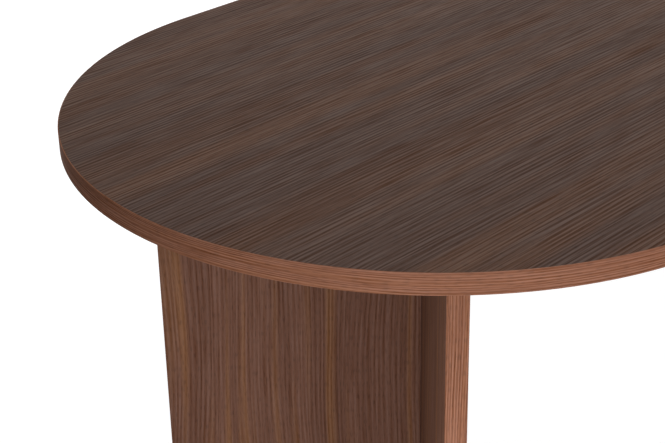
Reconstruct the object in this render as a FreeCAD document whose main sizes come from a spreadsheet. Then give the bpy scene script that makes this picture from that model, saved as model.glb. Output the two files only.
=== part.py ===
import FreeCAD, Part
import os
import Sketcher

# Racetrack dining table on two V-shaped panel legs, flat packed and held by cam connectors.
# Frame: origin on the floor under the middle of the top, X along the table, Z up.
# Each panel has a frame of its own: X along the arm from the point where the two panels' middle
# planes cross, Y through the board, Z up from the floor.

# Driving dimensions, in millimetres and degrees
DIMENSIONS = {
    # Top
    "top_length": 1800,
    "top_width": 900,
    "top_thickness": 25,
    "table_height": 750,
    # Edging strips glued to the sawn edges
    "edging_thickness": 1,
    "edging_radius": 0.8,
    "glue_line": 0.1,
    # V legs
    "panel_thickness": 25,
    "leg_half_angle": 45,
    "arm_reach": 345,
    "corner_seam": 0.2,
    # Cam bolts
    "bolt_thread": 5,
    "bolt_thread_length": 10.5,
    "bolt_collar": 7,
    "bolt_collar_length": 3,
    "bolt_shank": 5,
    "bolt_head": 6.6,
    "bolt_head_length": 6.4,
    "thread_clearance": 0.05,
    "thread_room": 0.5,
    "channel_room": 0.5,
    # Cam locks, with a socket for the key and a T slot for the bolt's head
    "cam_diameter": 15,
    "cam_clearance": 0.1,
    "cam_recess": 0.5,
    "cam_floor": 1.3,
    "cam_setback": 34,
    "shank_room": 0.3,
    "head_room": 0.4,
    "key_size": 4,
    "key_depth": 4,
    # Cover caps
    "cap_overlap": 1,
    "cap_thickness": 1.2,
    "cap_edge": 0.6,
    "cap_pin_length": 3,
    # Wooden dowels
    "dowel_diameter": 8,
    "dowel_clearance": 0.05,
    "dowel_short_end": 12,
    "dowel_long_end": 23,
    "dowel_room": 1,
    "dowel_chamfer": 1,
    # Rows of connectors, with a dowel half way between two cams
    "corner_cam_rise": 110,
    "corner_cam_drop": 115,
    "corner_cam_count": 3,
    "top_cam_first": 70,
    "top_cam_setback": 65,
    "top_cam_count": 2,
    # Levelling feet
    "apex_foot_place": 28,
    "end_foot_setback": 40,
    "stem_diameter": 8,
    "stem_length": 28,
    "stem_chamfer": 0.8,
    "stem_clearance": 0.08,
    "stem_room": 4,
    "insert_wall": 2,
    "insert_length": 18,
    "insert_clearance": 0.05,
    "hex_size": 13,
    "hex_height": 3,
    "neck_step": 1,
    "pad_diameter": 22,
    "pad_height": 5,
    "pad_rim": 3,
    "pad_crown": 15,
    "pad_chamfer": 1,
    "pad_floor": 2,
}

# Heights and places that follow from the driving dimensions
END_CENTRE = "(dims.top_length - dims.top_width) / 2"
UNDERSIDE = "(dims.table_height - dims.top_thickness)"
FLOOR_GAP = "(dims.pad_height + dims.hex_height)"
HALF_PANEL = "(dims.panel_thickness / 2)"
EDGING_AND_GLUE = "(dims.edging_thickness + dims.glue_line)"
CORE_BASE = f"({FLOOR_GAP} + {EDGING_AND_GLUE})"
CORE_END = f"(dims.arm_reach - {EDGING_AND_GLUE})"
APEX_END = f"(-{HALF_PANEL})"
CORE_APEX = f"({APEX_END} + {EDGING_AND_GLUE})"
BUTT_START = f"({HALF_PANEL} + dims.corner_seam)"

# Connectors: rows, and the holes that the pieces need
CORNER_SPAN = f"({UNDERSIDE} - dims.corner_cam_drop - dims.corner_cam_rise)"
CORNER_PITCH = f"({CORNER_SPAN} / (dims.corner_cam_count - 1))"
CORNER_DOWEL_FIRST = f"(dims.corner_cam_rise + {CORNER_PITCH} / 2)"
CORNER_DOWEL_COUNT = "dims.corner_cam_count - 1"
CORNER_CAM_PLACE = f"({HALF_PANEL} + dims.cam_setback)"
TOP_CAM_HEIGHT = f"({UNDERSIDE} - dims.cam_setback)"
TOP_SPAN = "(dims.arm_reach - dims.top_cam_setback - dims.top_cam_first)"
TOP_PITCH = f"({TOP_SPAN} / (dims.top_cam_count - 1))"
TOP_DOWEL_PLACE = f"(dims.top_cam_first + {TOP_PITCH} / 2)"
BOLT_CHANNEL = "(dims.bolt_collar + 2 * dims.channel_room)"
BOLT_HOLE_DEPTH = "(dims.bolt_thread_length + dims.thread_room)"
CAM_RADIUS = "(dims.cam_diameter / 2 - dims.cam_clearance)"
CAM_PAST_MIDDLE = "(dims.bolt_head / 2 + dims.head_room + dims.cam_floor)"
CAP_RADIUS = "(dims.cam_diameter / 2 + dims.cap_overlap)"

# Levelling feet
END_FOOT_PLACE = "(dims.arm_reach - dims.end_foot_setback)"
INSERT_DIAMETER = "(dims.stem_diameter + 2 * dims.insert_wall)"
INSERT_BORE = f"({INSERT_DIAMETER} + 2 * dims.insert_clearance)"
INSERT_TOP = f"({FLOOR_GAP} + dims.insert_length)"
STEM_TOP = f"({FLOOR_GAP} + dims.stem_length)"
STEM_BORE = "(dims.stem_diameter + 2 * dims.stem_clearance)"
NECK_RADIUS = "(dims.stem_diameter / 2 + dims.neck_step)"
SQRT_3 = "sqrt(3)"

# The face of a panel that looks out of the V, as a sign along its own Y
THROUGH_OUTSIDE = 1
BUTT_OUTSIDE = -1

ORIGIN_POINT = (-1, 1)
X_AXIS_LINE = -1
Y_AXIS_LINE = -2
START, END, CENTRE = 1, 2, 3

os.makedirs("parts", exist_ok=True)
doc = FreeCAD.newDocument("dining_table")
dims = doc.addObject("Spreadsheet::Sheet", "dims")
for row, (alias, value) in enumerate(DIMENSIONS.items(), start=1):
    dims.set(f"A{row}", alias)
    dims.set(f"B{row}", str(value))
    dims.setAlias(f"B{row}", alias)
doc.recompute()

nodes = []


def number(expression):
    """Present value of an expression, for the first drawing of a sketch."""
    return float(dims.evalExpression(expression))


def point(across, up):
    return FreeCAD.Vector(number(across), number(up), 0)


def new_body(label, place="0", turn="0"):
    """Empty body whose frame is moved along X and turned about Z."""
    body = doc.addObject("PartDesign::Body", label)
    body.Label = label
    body.setExpression("Placement.Base.x", place)
    body.setExpression("Placement.Rotation.Angle", turn)
    return body


def origin_feature(body, role):
    return next(item for item in body.Origin.OriginFeatures if item.Role == role)


def new_sketch(body, role, level="0", across="0", up="0"):
    """Sketch on an origin plane, raised by level, its own origin moved within the plane."""
    sketch = body.newObject("Sketcher::SketchObject", f"{body.Name}_sketch")
    sketch.AttachmentSupport = [(origin_feature(body, role), "")]
    sketch.MapMode = "FlatFace"
    sketch.setExpression("AttachmentOffset.Base.x", across)
    sketch.setExpression("AttachmentOffset.Base.y", up)
    sketch.setExpression("AttachmentOffset.Base.z", level)
    return sketch


def bind(sketch, constraint, name, expression):
    index = sketch.addConstraint(constraint)
    sketch.renameConstraint(index, name)
    sketch.setExpression(f"Constraints.{name}", expression)


def pin_point(sketch, shape, spot, across, up):
    """Tie one point of a sketched line or circle to a place given by two expressions."""
    if across == "0":
        sketch.addConstraint(Sketcher.Constraint("PointOnObject", shape, spot, Y_AXIS_LINE))
    else:
        distance = Sketcher.Constraint("DistanceX", *ORIGIN_POINT, shape, spot, number(across))
        bind(sketch, distance, f"across_{shape}", across)
    if up == "0":
        sketch.addConstraint(Sketcher.Constraint("PointOnObject", shape, spot, X_AXIS_LINE))
    else:
        distance = Sketcher.Constraint("DistanceY", *ORIGIN_POINT, shape, spot, number(up))
        bind(sketch, distance, f"up_{shape}", up)


def polygon(sketch, corners):
    """Closed outline of straight lines through corners given as pairs of expressions."""
    lines = []
    for corner, following in zip(corners, corners[1:] + corners[:1]):
        lines.append(sketch.addGeometry(Part.LineSegment(point(*corner), point(*following)), False))
    for line, following in zip(lines, lines[1:] + lines[:1]):
        sketch.addConstraint(Sketcher.Constraint("Coincident", line, END, following, START))
    for line, corner in zip(lines, corners):
        pin_point(sketch, line, START, *corner)


def rectangle(sketch, left, right, low, high):
    polygon(sketch, [(left, low), (right, low), (right, high), (left, high)])


def circle(sketch, across, up, diameter):
    centre = point(across, up)
    shape = sketch.addGeometry(Part.Circle(centre, FreeCAD.Vector(0, 0, 1), number(diameter) / 2), False)
    bind(sketch, Sketcher.Constraint("Diameter", shape, number(diameter)), f"diameter_{shape}", diameter)
    pin_point(sketch, shape, CENTRE, across, up)


def hexagon(sketch, across, up, flats):
    """Regular hexagon, given the distance across its flats."""
    corner = f"{flats} / {SQRT_3}"
    half_corner = f"{flats} / (2 * {SQRT_3})"
    polygon(
        sketch,
        [
            (f"{across} + {corner}", up),
            (f"{across} + {half_corner}", f"{up} + {flats} / 2"),
            (f"{across} - {half_corner}", f"{up} + {flats} / 2"),
            (f"{across} - {corner}", up),
            (f"{across} - {half_corner}", f"{up} - {flats} / 2"),
            (f"{across} + {half_corner}", f"{up} - {flats} / 2"),
        ],
    )


def racetrack(sketch, inset):
    """Outline of the top, two straight sides and two half circles, moved inwards by an expression."""
    radius = f"dims.top_width / 2 - ({inset})"
    reach = number(END_CENTRE)
    size = number(radius)
    quarter = 1.5707963267948966
    half_circles = []
    for middle, first in ((reach, -quarter), (-reach, quarter)):
        ring = Part.Circle(FreeCAD.Vector(middle, 0, 0), FreeCAD.Vector(0, 0, 1), size)
        arc = Part.ArcOfCircle(ring, first, first + 2 * quarter)
        half_circles.append(sketch.addGeometry(arc, False))
    right, left = half_circles
    far_side = Part.LineSegment(FreeCAD.Vector(reach, size, 0), FreeCAD.Vector(-reach, size, 0))
    near_side = Part.LineSegment(FreeCAD.Vector(-reach, -size, 0), FreeCAD.Vector(reach, -size, 0))
    far = sketch.addGeometry(far_side, False)
    near = sketch.addGeometry(near_side, False)
    pin_point(sketch, right, CENTRE, END_CENTRE, "0")
    pin_point(sketch, left, CENTRE, f"-({END_CENTRE})", "0")
    bind(sketch, Sketcher.Constraint("Radius", right, size), f"radius_{right}", radius)
    sketch.addConstraint(Sketcher.Constraint("Equal", right, left))
    for first, second in ((right, far), (far, left), (left, near), (near, right)):
        sketch.addConstraint(Sketcher.Constraint("Tangent", first, END, second, START))


def pad(body, sketch, length, reverse=False):
    feature = body.newObject("PartDesign::Pad", f"{body.Name}_pad")
    feature.Profile = sketch
    feature.setExpression("Length", length)
    feature.Reversed = reverse
    doc.recompute()
    return feature


def pocket(body, sketch, depth, reverse=False, symmetric=False):
    """Cut a sketch into the body, and stop if the cut misses it."""
    before = body.Tip.Shape.Volume
    feature = body.newObject("PartDesign::Pocket", f"{body.Name}_pocket")
    feature.Profile = sketch
    feature.setExpression("Length", depth)
    feature.Reversed = reverse
    if symmetric:
        feature.SideType = "Symmetric"
    doc.recompute()
    if not feature.Shape.Volume < before:
        raise RuntimeError(f"{feature.Name} cuts nothing")
    return feature


def turn_profile(body, sketch, axis):
    feature = body.newObject("PartDesign::Revolution", f"{body.Name}_turned")
    feature.Profile = sketch
    feature.ReferenceAxis = (sketch, [axis])
    doc.recompute()
    return feature


def repeat(body, feature, role, pitch, count):
    """Row of equal features along an axis of the body."""
    pattern = body.newObject("PartDesign::LinearPattern", f"{body.Name}_row")
    pattern.Originals = [feature]
    pattern.Direction = (origin_feature(body, role), [""])
    pattern.Mode = "Spacing"
    pattern.setExpression("Offset", pitch)
    pattern.setExpression("Occurrences", count)
    body.Tip = pattern
    doc.recompute()
    return pattern


def repeat_whole(body, role, pitch, count):
    """Row of copies of all that the body holds so far."""
    pattern = repeat(body, body.Tip, role, pitch, count)
    pattern.TransformMode = "Whole shape"
    doc.recompute()


def round_edges(body, chosen, radius):
    """Fillet the edges whose middle and direction pass the test."""
    base = body.Tip
    names = []
    for index, edge in enumerate(base.Shape.Edges, start=1):
        middle = edge.valueAt((edge.FirstParameter + edge.LastParameter) / 2)
        if chosen(edge, middle):
            names.append(f"Edge{index}")
    if not names:
        raise RuntimeError(f"{body.Name} has no edge to round")
    fillet = body.newObject("PartDesign::Fillet", f"{body.Name}_fillet")
    fillet.Base = (base, names)
    fillet.setExpression("Radius", radius)
    doc.recompute()


def near(first, second):
    return abs(first - second) < 1e-4


def publish(body):
    nodes.append(body)
    return body


def group(label, bodies):
    """One node that holds several like pieces as separate solids."""
    compound = doc.addObject("Part::Compound", label)
    compound.Label = label
    compound.Links = bodies
    doc.recompute()
    return publish(compound)


def make_tabletop():
    """Board of the top, with blind holes in its underside for the legs' bolts and dowels."""
    board = new_body("tabletop_board")
    outline = new_sketch(board, "XY_Plane", level=UNDERSIDE)
    racetrack(outline, EDGING_AND_GLUE)
    pad(board, outline, "dims.top_thickness")
    steps = range(int(number("dims.top_cam_count")))
    bolt_places = [f"(dims.top_cam_first + {step} * {TOP_PITCH})" for step in steps]
    bolt_holes = underside_holes(board, bolt_places, "dims.bolt_thread", BOLT_HOLE_DEPTH)
    dowel_depth = "dims.dowel_short_end + dims.dowel_room"
    dowel_holes = underside_holes(board, [TOP_DOWEL_PLACE], "dims.dowel_diameter", dowel_depth)
    half_turn = board.newObject("PartDesign::PolarPattern", "tabletop_board_half_turn")
    half_turn.Originals = [bolt_holes, dowel_holes]
    half_turn.Axis = (origin_feature(board, "Z_Axis"), [""])
    half_turn.Angle = 360
    half_turn.Occurrences = 2
    board.Tip = half_turn
    doc.recompute()
    publish(board)


def underside_holes(board, places, diameter, depth):
    """Blind holes over both arms of the left leg, at places along the arms."""
    sketch = new_sketch(board, "XY_Plane", level=UNDERSIDE)
    for place in places:
        across = f"-({END_CENTRE}) - {place} * cos(dims.leg_half_angle)"
        for arm in (1, -1):
            circle(sketch, across, f"{arm} * {place} * sin(dims.leg_half_angle)", diameter)
    return pocket(board, sketch, depth, reverse=True)


def make_tabletop_edging():
    """Strip round the rim of the top, both of its arrises rounded."""
    edging = new_body("tabletop_edging")
    outline = new_sketch(edging, "XY_Plane", level=UNDERSIDE)
    racetrack(outline, "0")
    racetrack(outline, "dims.edging_thickness")
    strip = pad(edging, outline, "dims.top_thickness")
    levels = (number(UNDERSIDE), number("dims.table_height"))
    rim = number("dims.top_width / 2")
    reach = number(END_CENTRE)

    def on_outer_arris(edge, middle):
        beyond = max(abs(middle.x) - reach, 0)
        level = any(near(middle.z, height) for height in levels)
        flat = near(edge.BoundBox.ZLength, 0)
        return level and flat and near((beyond**2 + middle.y**2) ** 0.5, rim)

    edging.Tip = strip
    round_edges(edging, on_outer_arris, "dims.edging_radius")
    publish(edging)


def block(body, left, right, low, high):
    """Piece of board: full thickness, from left to right along the arm, from low to high."""
    sketch = new_sketch(body, "XY_Plane", level=low)
    rectangle(sketch, left, right, f"-{HALF_PANEL}", HALF_PANEL)
    return pad(body, sketch, f"{high} - {low}")


def face_level(outside):
    """Level of the outside face along the normal of the XZ plane, which looks along -Y."""
    return f"{-outside} * {HALF_PANEL}"


def drill_top_edge(panel, outside):
    """Channels for the top bolts, cam holes that they end in, and a dowel hole."""
    channel = new_sketch(panel, "XY_Plane", level=UNDERSIDE)
    circle(channel, "dims.top_cam_first", "0", BOLT_CHANNEL)
    channels = pocket(panel, channel, "dims.cam_setback")
    repeat(panel, channels, "X_Axis", TOP_PITCH, "dims.top_cam_count")
    cam = new_sketch(panel, "XZ_Plane", level=face_level(outside))
    circle(cam, "dims.top_cam_first", TOP_CAM_HEIGHT, "dims.cam_diameter")
    cams = pocket(panel, cam, f"{HALF_PANEL} + {CAM_PAST_MIDDLE}", reverse=outside > 0)
    repeat(panel, cams, "X_Axis", TOP_PITCH, "dims.top_cam_count")
    dowel = new_sketch(panel, "XY_Plane", level=UNDERSIDE)
    circle(dowel, TOP_DOWEL_PLACE, "0", "dims.dowel_diameter")
    pocket(panel, dowel, "dims.dowel_long_end + dims.dowel_room")


def drill_feet(panel, places):
    """Stepped holes from below: a wide bore for the insert, a narrow one for the end of the stem."""
    insert = new_sketch(panel, "XY_Plane", level=FLOOR_GAP)
    for place in places:
        circle(insert, place, "0", INSERT_BORE)
    pocket(panel, insert, "dims.insert_length", reverse=True)
    stem = new_sketch(panel, "XY_Plane", level=INSERT_TOP)
    for place in places:
        circle(stem, place, "0", STEM_BORE)
    pocket(panel, stem, "dims.stem_length - dims.insert_length + dims.stem_room", reverse=True)


def make_through_panel(side, frame):
    """Panel that runs past the corner to the point of the V."""
    panel = new_body(f"{side}_through_panel", *frame)
    block(panel, CORE_APEX, CORE_END, CORE_BASE, UNDERSIDE)
    inside = face_level(-THROUGH_OUTSIDE)
    bolt = new_sketch(panel, "XZ_Plane", level=inside)
    circle(bolt, "0", "dims.corner_cam_rise", "dims.bolt_thread")
    bolts = pocket(panel, bolt, BOLT_HOLE_DEPTH)
    repeat(panel, bolts, "Z_Axis", CORNER_PITCH, "dims.corner_cam_count")
    dowel = new_sketch(panel, "XZ_Plane", level=inside)
    circle(dowel, "0", CORNER_DOWEL_FIRST, "dims.dowel_diameter")
    dowels = pocket(panel, dowel, "dims.dowel_short_end + dims.dowel_room")
    repeat(panel, dowels, "Z_Axis", CORNER_PITCH, CORNER_DOWEL_COUNT)
    drill_top_edge(panel, THROUGH_OUTSIDE)
    drill_feet(panel, ["dims.apex_foot_place", END_FOOT_PLACE])
    publish(panel)


def make_butt_panel(side, frame):
    """Panel whose sawn end butts against the inner face of the through panel."""
    panel = new_body(f"{side}_butt_panel", *frame)
    block(panel, BUTT_START, CORE_END, CORE_BASE, UNDERSIDE)
    channel = new_sketch(panel, "YZ_Plane", level=HALF_PANEL)
    circle(channel, "0", "dims.corner_cam_rise", BOLT_CHANNEL)
    channels = pocket(panel, channel, "dims.cam_setback", reverse=True)
    repeat(panel, channels, "Z_Axis", CORNER_PITCH, "dims.corner_cam_count")
    cam = new_sketch(panel, "XZ_Plane", level=face_level(BUTT_OUTSIDE))
    circle(cam, CORNER_CAM_PLACE, "dims.corner_cam_rise", "dims.cam_diameter")
    cams = pocket(panel, cam, f"{HALF_PANEL} + {CAM_PAST_MIDDLE}")
    repeat(panel, cams, "Z_Axis", CORNER_PITCH, "dims.corner_cam_count")
    dowel = new_sketch(panel, "YZ_Plane", level=HALF_PANEL)
    circle(dowel, "0", CORNER_DOWEL_FIRST, "dims.dowel_diameter")
    dowels = pocket(panel, dowel, "dims.dowel_long_end + dims.dowel_room", reverse=True)
    repeat(panel, dowels, "Z_Axis", CORNER_PITCH, CORNER_DOWEL_COUNT)
    drill_top_edge(panel, BUTT_OUTSIDE)
    drill_feet(panel, [END_FOOT_PLACE])
    publish(panel)


def make_upright_edging(label, frame, left, right, outer):
    """Strip on an upright end of a panel, from the base to the top, its outer arrises rounded."""
    edging = new_body(label, *frame)
    block(edging, left, right, FLOOR_GAP, UNDERSIDE)
    face = number(outer)
    height = number(f"{UNDERSIDE} - {FLOOR_GAP}")

    def on_outer_arris(edge, middle):
        return near(middle.x, face) and near(edge.BoundBox.ZLength, height)

    round_edges(edging, on_outer_arris, "dims.edging_radius")
    publish(edging)


def make_base_edging(label, frame, left, right, feet):
    """Strip under a panel, rounded below and drilled for the feet."""
    edging = new_body(label, *frame)
    block(edging, left, right, FLOOR_GAP, f"{FLOOR_GAP} + dims.edging_thickness")
    base = number(FLOOR_GAP)
    length = number(f"{right} - ({left})")

    def on_lower_arris(edge, middle):
        return near(middle.z, base) and near(edge.BoundBox.XLength, length)

    round_edges(edging, on_lower_arris, "dims.edging_radius")
    holes = new_sketch(edging, "XY_Plane", level=FLOOR_GAP)
    for place in feet:
        circle(holes, place, "0", INSERT_BORE)
    pocket(edging, holes, "dims.edging_thickness", reverse=True)
    publish(edging)


def cam_blank(body, place, height, outside):
    """Turned body of a cam lock, its axis through the board, and the socket for its key."""
    inner = f"{-outside} * ({CAM_PAST_MIDDLE} - dims.cam_clearance)"
    outer = f"{outside} * ({HALF_PANEL} - dims.cam_recess)"
    profile = new_sketch(body, "XY_Plane", level=height, across=place)
    polygon(profile, [("0", inner), (CAM_RADIUS, inner), (CAM_RADIUS, outer), ("0", outer)])
    turn_profile(body, profile, "V_Axis")
    socket = new_sketch(body, "XZ_Plane", level=f"-({outer})")
    hexagon(socket, place, height, "dims.key_size")
    pocket(body, socket, "dims.key_depth", reverse=outside > 0)


def slot_corners(centre, towards_bolt):
    """T slot for the head of a bolt, as pairs of a place along the bolt and a place through the board."""
    head_half = "(dims.bolt_head_length / 2 + dims.head_room)"
    mouth = f"{centre} + {towards_bolt} * dims.cam_diameter"
    lip = f"{centre} + {towards_bolt} * {head_half}"
    back = f"{centre} - {towards_bolt} * {head_half}"
    entry = "(dims.bolt_shank / 2 + dims.shank_room)"
    room = "(dims.bolt_head / 2 + dims.head_room)"
    return [
        (mouth, f"-{entry}"),
        (lip, f"-{entry}"),
        (lip, f"-{room}"),
        (back, f"-{room}"),
        (back, room),
        (lip, room),
        (lip, entry),
        (mouth, entry),
    ]


def corner_cams(label, frame):
    cams = new_body(label, *frame)
    cam_blank(cams, CORNER_CAM_PLACE, "dims.corner_cam_rise", BUTT_OUTSIDE)
    slot = new_sketch(cams, "XY_Plane", level="dims.corner_cam_rise")
    polygon(slot, slot_corners(CORNER_CAM_PLACE, -1))
    pocket(cams, slot, "2 * dims.cam_diameter", symmetric=True)
    repeat_whole(cams, "Z_Axis", CORNER_PITCH, "dims.corner_cam_count")
    return cams


def top_cams(label, frame, outside):
    cams = new_body(label, *frame)
    cam_blank(cams, "dims.top_cam_first", TOP_CAM_HEIGHT, outside)
    slot = new_sketch(cams, "YZ_Plane", level="dims.top_cam_first")
    polygon(slot, [(across, up) for up, across in slot_corners(TOP_CAM_HEIGHT, 1)])
    pocket(cams, slot, "2 * dims.cam_diameter", symmetric=True)
    repeat_whole(cams, "X_Axis", TOP_PITCH, "dims.top_cam_count")
    return cams


def bolt_outline(seat, towards_cam):
    """Half profile of a cam bolt that stands on a face at seat, as pairs of a place and a radius."""
    thread = "dims.bolt_thread / 2 - dims.thread_clearance"
    tip = f"{seat} - {towards_cam} * dims.bolt_thread_length"
    collar = f"{seat} + {towards_cam} * dims.bolt_collar_length"
    neck = f"{seat} + {towards_cam} * (dims.cam_setback - dims.bolt_head_length / 2)"
    crown = f"{seat} + {towards_cam} * (dims.cam_setback + dims.bolt_head_length / 2)"
    return [
        (tip, "0"),
        (tip, thread),
        (seat, thread),
        (seat, "dims.bolt_collar / 2"),
        (collar, "dims.bolt_collar / 2"),
        (collar, "dims.bolt_shank / 2"),
        (neck, "dims.bolt_shank / 2"),
        (neck, "dims.bolt_head / 2"),
        (crown, "dims.bolt_head / 2"),
        (crown, "0"),
    ]


def dowel_outline(seat, towards_long):
    """Half profile of a dowel across a joint at seat, both of its ends chamfered."""
    radius = "dims.dowel_diameter / 2 - dims.dowel_clearance"
    tip = f"{radius} - dims.dowel_chamfer"
    short_tip = f"{seat} - {towards_long} * dims.dowel_short_end"
    short_full = f"{seat} - {towards_long} * (dims.dowel_short_end - dims.dowel_chamfer)"
    long_full = f"{seat} + {towards_long} * (dims.dowel_long_end - dims.dowel_chamfer)"
    long_tip = f"{seat} + {towards_long} * dims.dowel_long_end"
    return [
        (short_tip, "0"),
        (short_tip, tip),
        (short_full, radius),
        (long_full, radius),
        (long_tip, tip),
        (long_tip, "0"),
    ]


def lying_pins(label, frame, outline, height, pitch, count):
    """Turned pins along the arm, in a row up the corner."""
    pins = new_body(label, *frame)
    profile = new_sketch(pins, "XZ_Plane", up=height)
    polygon(profile, outline)
    turn_profile(pins, profile, "H_Axis")
    repeat_whole(pins, "Z_Axis", pitch, count)
    return pins


def upright_pins(label, frame, outline, place, pitch=None, count=None):
    """Turned pins that stand in the top edge of a panel, in a row along the arm."""
    pins = new_body(label, *frame)
    profile = new_sketch(pins, "XZ_Plane", across=place)
    polygon(profile, [(radius, up) for up, radius in outline])
    turn_profile(pins, profile, "V_Axis")
    if count:
        repeat_whole(pins, "X_Axis", pitch, count)
    return pins


def cap_outline(outside):
    """Half profile of a cover cap: a chamfered disc on the face and a pin in the cam's socket."""
    face = f"{outside} * {HALF_PANEL}"
    pin_end = f"{outside} * ({HALF_PANEL} - dims.cap_pin_length)"
    shoulder = f"{outside} * ({HALF_PANEL} + dims.cap_thickness - dims.cap_edge)"
    crown = f"{outside} * ({HALF_PANEL} + dims.cap_thickness)"
    pin = "dims.key_size / 2 - dims.cam_clearance"
    return [
        ("0", pin_end),
        (pin, pin_end),
        (pin, face),
        (CAP_RADIUS, face),
        (CAP_RADIUS, shoulder),
        (f"{CAP_RADIUS} - dims.cap_edge", crown),
        ("0", crown),
    ]


def cover_caps(label, frame, outside, place, height, role, pitch, count):
    caps = new_body(label, *frame)
    profile = new_sketch(caps, "XY_Plane", level=height, across=place)
    polygon(profile, cap_outline(outside))
    turn_profile(caps, profile, "V_Axis")
    repeat_whole(caps, role, pitch, count)
    return caps


def thread_insert(label, frame, place):
    """Steel sleeve let into the base of a panel for the stem of a foot."""
    insert = new_body(label, *frame)
    profile = new_sketch(insert, "XZ_Plane", across=place)
    rectangle(profile, f"{STEM_BORE} / 2", f"{INSERT_DIAMETER} / 2", FLOOR_GAP, INSERT_TOP)
    turn_profile(insert, profile, "V_Axis")
    return insert


def make_foot_stud(label, frame, place):
    """Steel stud of a foot: stem in the insert, hexagon for a spanner, neck moulded into the pad."""
    stud = new_body(label, *frame)
    profile = new_sketch(stud, "XZ_Plane", across=place)
    stem = "dims.stem_diameter / 2"
    polygon(
        profile,
        [
            ("0", "dims.pad_floor"),
            (NECK_RADIUS, "dims.pad_floor"),
            (NECK_RADIUS, FLOOR_GAP),
            (stem, FLOOR_GAP),
            (stem, f"{STEM_TOP} - dims.stem_chamfer"),
            (f"{stem} - dims.stem_chamfer", STEM_TOP),
            ("0", STEM_TOP),
        ],
    )
    turn_profile(stud, profile, "V_Axis")
    spanner = new_sketch(stud, "XY_Plane", level="dims.pad_height")
    hexagon(spanner, place, "0", "dims.hex_size")
    pad(stud, spanner, "dims.hex_height")
    publish(stud)


def make_foot_pad(label, frame, place):
    """Plastic pad of a foot, moulded round the neck of its stud."""
    foot = new_body(label, *frame)
    profile = new_sketch(foot, "XZ_Plane", across=place)
    rim = "dims.pad_diameter / 2"
    bore = f"{NECK_RADIUS} + dims.insert_clearance"
    polygon(
        profile,
        [
            ("0", "0"),
            (f"{rim} - dims.pad_chamfer", "0"),
            (rim, "dims.pad_chamfer"),
            (rim, "dims.pad_rim"),
            ("dims.pad_crown / 2", "dims.pad_height"),
            (bore, "dims.pad_height"),
            (bore, "dims.pad_floor"),
            ("0", "dims.pad_floor"),
        ],
    )
    turn_profile(foot, profile, "V_Axis")
    publish(foot)


def make_corner_joint(side, butt):
    """Cam locks, bolts and dowels that hold the two panels of a leg together."""
    row = ("dims.corner_cam_rise", CORNER_PITCH, "dims.corner_cam_count")
    dowel_row = (CORNER_DOWEL_FIRST, CORNER_PITCH, CORNER_DOWEL_COUNT)
    publish(corner_cams(f"{side}_corner_cams", butt))
    publish(lying_pins(f"{side}_corner_bolts", butt, bolt_outline(HALF_PANEL, 1), *row))
    publish(lying_pins(f"{side}_corner_dowels", butt, dowel_outline(HALF_PANEL, 1), *dowel_row))


def make_top_joint(side, arms):
    """Cam locks, bolts and dowels that hold a leg to the top."""
    row = ("dims.top_cam_first", TOP_PITCH, "dims.top_cam_count")
    cams = []
    bolts = []
    dowels = []
    for arm, frame, outside in arms:
        cams.append(top_cams(f"{side}_{arm}_cams", frame, outside))
        bolts.append(upright_pins(f"{side}_{arm}_bolts", frame, bolt_outline(UNDERSIDE, -1), *row))
        dowel = dowel_outline(UNDERSIDE, -1)
        dowels.append(upright_pins(f"{side}_{arm}_dowel", frame, dowel, TOP_DOWEL_PLACE))
    group(f"{side}_top_cams", cams)
    group(f"{side}_top_bolts", bolts)
    group(f"{side}_top_dowels", dowels)


def make_cam_caps(side, arms, butt):
    """Cover caps over all the cam locks of a leg."""
    up_the_corner = ("Z_Axis", CORNER_PITCH, "dims.corner_cam_count")
    along_the_arm = ("X_Axis", TOP_PITCH, "dims.top_cam_count")
    corner = (CORNER_CAM_PLACE, "dims.corner_cam_rise", *up_the_corner)
    top = ("dims.top_cam_first", TOP_CAM_HEIGHT, *along_the_arm)
    caps = [cover_caps(f"{side}_corner_caps", butt, BUTT_OUTSIDE, *corner)]
    for arm, frame, outside in arms:
        caps.append(cover_caps(f"{side}_{arm}_caps", frame, outside, *top))
    group(f"{side}_cam_caps", caps)


def make_feet(side, through, butt):
    """Three levelling feet: one near the point of the V and one near each end."""
    feet = (
        ("apex", through, "dims.apex_foot_place"),
        ("through", through, END_FOOT_PLACE),
        ("butt", butt, END_FOOT_PLACE),
    )
    inserts = []
    for foot, frame, place in feet:
        inserts.append(thread_insert(f"{side}_{foot}_insert", frame, place))
        make_foot_stud(f"{side}_{foot}_foot_stud", frame, place)
        make_foot_pad(f"{side}_{foot}_foot_pad", frame, place)
    group(f"{side}_foot_inserts", inserts)


def make_leg(side, place, turn):
    """One V leg under the end centre at place, its opening turned from the +X direction."""
    through = (place, f"{turn} + dims.leg_half_angle")
    butt = (place, f"{turn} - dims.leg_half_angle")
    arms = (("through", through, THROUGH_OUTSIDE), ("butt", butt, BUTT_OUTSIDE))
    outer_strip = ("dims.arm_reach - dims.edging_thickness", "dims.arm_reach", "dims.arm_reach")
    apex_strip = (APEX_END, f"{APEX_END} + dims.edging_thickness", APEX_END)
    make_through_panel(side, through)
    make_butt_panel(side, butt)
    make_upright_edging(f"{side}_through_end_edging", through, *outer_strip)
    make_upright_edging(f"{side}_butt_end_edging", butt, *outer_strip)
    make_upright_edging(f"{side}_apex_edging", through, *apex_strip)
    through_feet = ["dims.apex_foot_place", END_FOOT_PLACE]
    make_base_edging(f"{side}_through_base_edging", through, CORE_APEX, CORE_END, through_feet)
    make_base_edging(f"{side}_butt_base_edging", butt, BUTT_START, CORE_END, [END_FOOT_PLACE])
    make_corner_joint(side, butt)
    make_top_joint(side, arms)
    make_cam_caps(side, arms, butt)
    make_feet(side, through, butt)


make_tabletop()
make_tabletop_edging()
make_leg("left", f"-({END_CENTRE})", "180")
make_leg("right", END_CENTRE, "0")

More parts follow.
